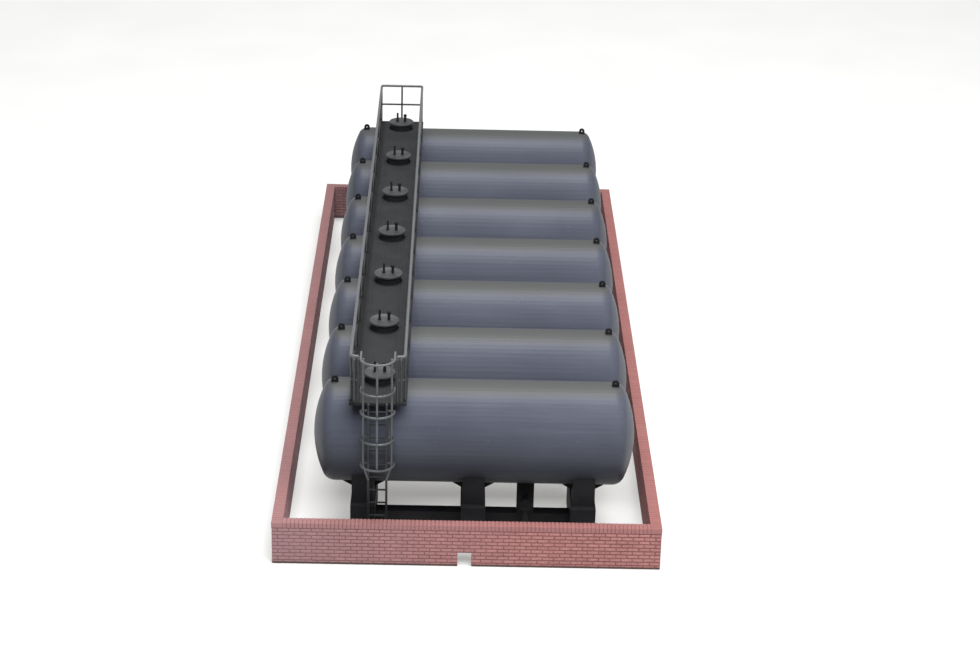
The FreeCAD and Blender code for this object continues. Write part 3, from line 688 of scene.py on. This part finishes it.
def bondedPitch(length):  # a whole number of bricks and a half fill the side
    whole = round(length / bundShape["brick"] - 0.5)
    return length / (whole + 0.5)


def bundCorners():  # the outer corners, and a wall's thickness
    frontLow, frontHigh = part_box("bund_wall_front")
    return frontLow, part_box("bund_wall_back")[1], frontHigh.y - frontLow.y


def notchSpan():  # the drain notch, read from the front wall's own corners
    low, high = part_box("bund_wall_front")
    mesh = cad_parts["bund_wall_front"].data
    inner = [vert.co for vert in mesh.vertices if low.x + mm < vert.co.x < high.x - mm]
    return min(co.x for co in inner), max(co.x for co in inner), max(co.z for co in inner)


def pieces(start, end, gapLow, gapHigh):  # what a gap leaves of one brick
    kept = [(start, min(end, gapLow)), (max(start, gapHigh), end)]
    return [(a, b) for a, b in kept if b - a > bundShape["shortest"]]


def laySide(bm, layer, course, side, low, high, flip, gap):
    s = bundShape
    along = 0 if side in ("front", "back") else 1
    across = 1 - along
    length = high[along] - low[along]
    pitch = bondedPitch(length)
    count = int(length / pitch)
    first = low[along] if flip else low[along] + length - count * pitch + s["joint"]
    bottom = course * s["course"] + s["bed"] / 2
    top = (course + 1) * s["course"] - s["bed"] / 2
    for index in range(count):
        start = first + index * pitch
        end = start + pitch - s["joint"]
        spans = pieces(start, end, *gap[:2]) if gap and bottom < gap[2] - s["bed"] else [(start, end)]
        for near, far in spans:
            stray = dice.uniform(0, s["stray"])
            cornerLow = [0, 0, bottom]
            cornerHigh = [0, 0, top]
            cornerLow[along], cornerHigh[along] = near, far
            if side in ("front", "left"):
                cornerLow[across], cornerHigh[across] = low[across] + stray, low[across] + s["leaf"]
            else:
                cornerLow[across], cornerHigh[across] = high[across] - s["leaf"], high[across] - stray
            addBrick(bm, cornerLow, cornerHigh, layer)


def makeWall(side):
    s = bundShape
    node = "bund_wall_" + side
    bundLow, bundHigh, thickness = bundCorners()
    low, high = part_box(node)
    gap = notchSpan() if side == "front" else None
    bm = bmesh.new()
    layer = bm.faces.layers.float.new("brickTone")
    for course in range(s["courses"]):
        for inset in (0.0, thickness):
            ringLow = Vector((bundLow.x + inset, bundLow.y + inset, 0))
            ringHigh = Vector((bundHigh.x - inset, bundHigh.y - inset, 0))
            if inset:  # the inner leaf faces the other way
                ringLow -= Vector((s["leaf"], s["leaf"], 0))
                ringHigh += Vector((s["leaf"], s["leaf"], 0))
            flip = (course % 2 == 0) == (side in ("front", "right"))
            laySide(bm, layer, course, side, ringLow, ringHigh, flip, gap)
    softenEdges(bm, bm.edges[:], s["edge"], segments=1)
    crownFaces(bm, side)
    recess = Vector((s["recess"], s["recess"], 0))
    cores = [(low + recess, high - recess)]
    if gap:
        left, right, top = gap
        cores = [(low + recess, Vector((left, high.y - recess.y, high.z))),
                 (Vector((right, low.y + recess.y, low.z)), high - recess),
                 (Vector((left, low.y + recess.y, top)), Vector((right, high.y - recess.y, high.z)))]
    for coreLow, coreHigh in cores:
        for vert in addBlock(bm, coreLow, coreHigh):
            for face in vert.link_faces:
                face.material_index = 1
    addPiece("bundWall" + side.title(), bm, "brick_bund", ["brick", "mortar"], [node])


def makeCoping(side):
    s = bundShape
    node = "bund_coping_" + side
    low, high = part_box(node)
    along = 0 if side in ("front", "back") else 1
    across = 1 - along
    length = high[along] - low[along]
    count = round(length / s["copingPitch"])
    pitch = (length + s["copingJoint"]) / count
    bm = bmesh.new()
    layer = bm.faces.layers.float.new("brickTone")
    for index in range(count):
        start = low[along] + index * pitch
        cornerLow, cornerHigh = low.copy(), high.copy()
        cornerLow[along] = start
        cornerHigh[along] = start + pitch - s["copingJoint"]
        cornerLow[across] += dice.uniform(0, s["stray"])
        cornerHigh[across] -= dice.uniform(0, s["stray"])
        cornerLow.z += s["bed"] / 2
        cornerHigh.z -= dice.uniform(0, s["stray"])
        addBrick(bm, cornerLow, cornerHigh, layer)
    softenEdges(bm, bm.edges[:], s["copingEdge"], segments=1)
    bed = Vector((s["recess"], s["recess"], 0))
    top = Vector((0, 0, s["copingRecess"]))
    for vert in addBlock(bm, low + bed, high - bed - top):
        for face in vert.link_faces:
            face.material_index = 1
    addPiece("bundCoping" + side.title(), bm, "brick_bund", ["coping", "mortar"],
             [node])


for side in ("front", "back", "left", "right"):
    makeWall(side)
    makeCoping(side)
print("brickwork laid")


# nodes that keep their own mesh get the finer finishes

keptNodes = {  # finish: nodes
    "rail": ["handrail_left", "handrail_right", "end_rail_left", "end_rail_right",
             "back_guard_rail"],
    "cage": ["cage_straps"] + ["cage_hoop_%d" % number for number in range(1, 6)],
    "ladder": ["ladder_rungs"],
    "black": ["manhole_neck_%d" % number for number in range(1, tankCount + 1)],
}
for material, nodes in keptNodes.items():
    for node in nodes:
        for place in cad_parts[node].material_slots:
            place.material = finishes[material]
print("rails, hoops and necks finished")


# table, light and camera

studio = {
    "aim": (0.0, 0.0, 0.03), "floorSize": 6.0, "floor": paint(146, 146, 145),
    "floorLight": paint(150, 150, 149), "floorRoughness": 0.9, "floorPatch": 40.0,
    "floorDrop": 0.02 * mm, "glowColour": (1.0, 0.985, 0.96, 1.0), "floorGlow": 0.32,
    "worldColour": (0.93, 0.96, 1.0, 1.0), "worldStrength": 0.4,
}
lamps = {
    "overhead": {"place": (0.0, 0.32, 1.1), "size": (0.6, 0.4), "power": 16.0, "mirrored": True},
    "front": {"place": (0.1, -0.33, 0.475), "size": (0.54, 0.37), "power": 8.6, "mirrored": False},
}


def makeFloor():
    bm = bmesh.new()
    bmesh.ops.create_grid(bm, x_segments=1, y_segments=1, size=studio["floorSize"] / 2)
    bmesh.ops.translate(bm, verts=bm.verts, vec=(0, 0, -studio["floorDrop"]))
    mesh = bpy.data.meshes.new("tableTop")
    bm.to_mesh(mesh)
    bm.free()
    finish = Finish("palePaper")
    patches = finish.noise(studio["floorPatch"])
    colour = finish.mix(finish.between(patches, 0.3, 0.7), studio["floor"], studio["floorLight"])
    mesh.materials.append(finish.surface(
        Base_Color=colour, Roughness=studio["floorRoughness"],
        Emission_Color=studio["glowColour"], Emission_Strength=studio["floorGlow"]))
    floor = bpy.data.objects.new("tableTop", mesh)
    bpy.context.scene.collection.objects.link(floor)


def aimed(place, aim):
    direction = Vector(aim) - Vector(place)
    return Matrix.Translation(place) @ direction.to_track_quat("-Z", "Y").to_matrix().to_4x4()


def makeLamp(name, lamp):
    light = bpy.data.lights.new(name, "AREA")
    light.shape = "RECTANGLE"
    light.size, light.size_y = lamp["size"]
    light.energy = lamp["power"]
    holder = bpy.data.objects.new(name, light)
    holder.matrix_world = aimed(lamp["place"], studio["aim"])
    holder.visible_glossy = lamp["mirrored"]  # whether shiny surfaces show it
    holder.visible_camera = False
    bpy.context.scene.collection.objects.link(holder)


def makeWorld():
    world = bpy.data.worlds.new("softStudio")
    world.use_nodes = True
    background = world.node_tree.nodes["Background"]
    background.inputs["Color"].default_value = studio["worldColour"]
    background.inputs["Strength"].default_value = studio["worldStrength"]
    bpy.context.scene.world = world


viewpoint = {
    "place": Vector((-4.82, -666.78, 302.82)) * mm, "down": 0.41, "right": 0.0176,
    "tilt": 0.0258, "lens": 85.785, "sensor": 36.0, "farthest": 20.0,
}


def makeCamera():
    v = viewpoint
    forward = Vector((math.sin(v["right"]) * math.cos(v["down"]),
                      math.cos(v["right"]) * math.cos(v["down"]), -math.sin(v["down"])))
    level = forward.cross(Vector((0, 0, 1))).normalized()
    upright = level.cross(forward)
    across = level * math.cos(v["tilt"]) + upright * math.sin(v["tilt"])
    up = upright * math.cos(v["tilt"]) - level * math.sin(v["tilt"])
    turn = Matrix((across, up, -forward)).transposed().to_4x4()
    data = bpy.data.cameras.new("viewCamera")
    data.lens = v["lens"]
    data.sensor_width = v["sensor"]
    data.clip_end = v["farthest"]
    camera = bpy.data.objects.new("viewCamera", data)
    camera.matrix_world = Matrix.Translation(v["place"]) @ turn
    bpy.context.scene.collection.objects.link(camera)
    bpy.context.scene.camera = camera


makeFloor()
makeWorld()
for name, lamp in lamps.items():
    makeLamp(name, lamp)
makeCamera()
bpy.context.scene.view_settings.view_transform = "Standard"
print("stage set")
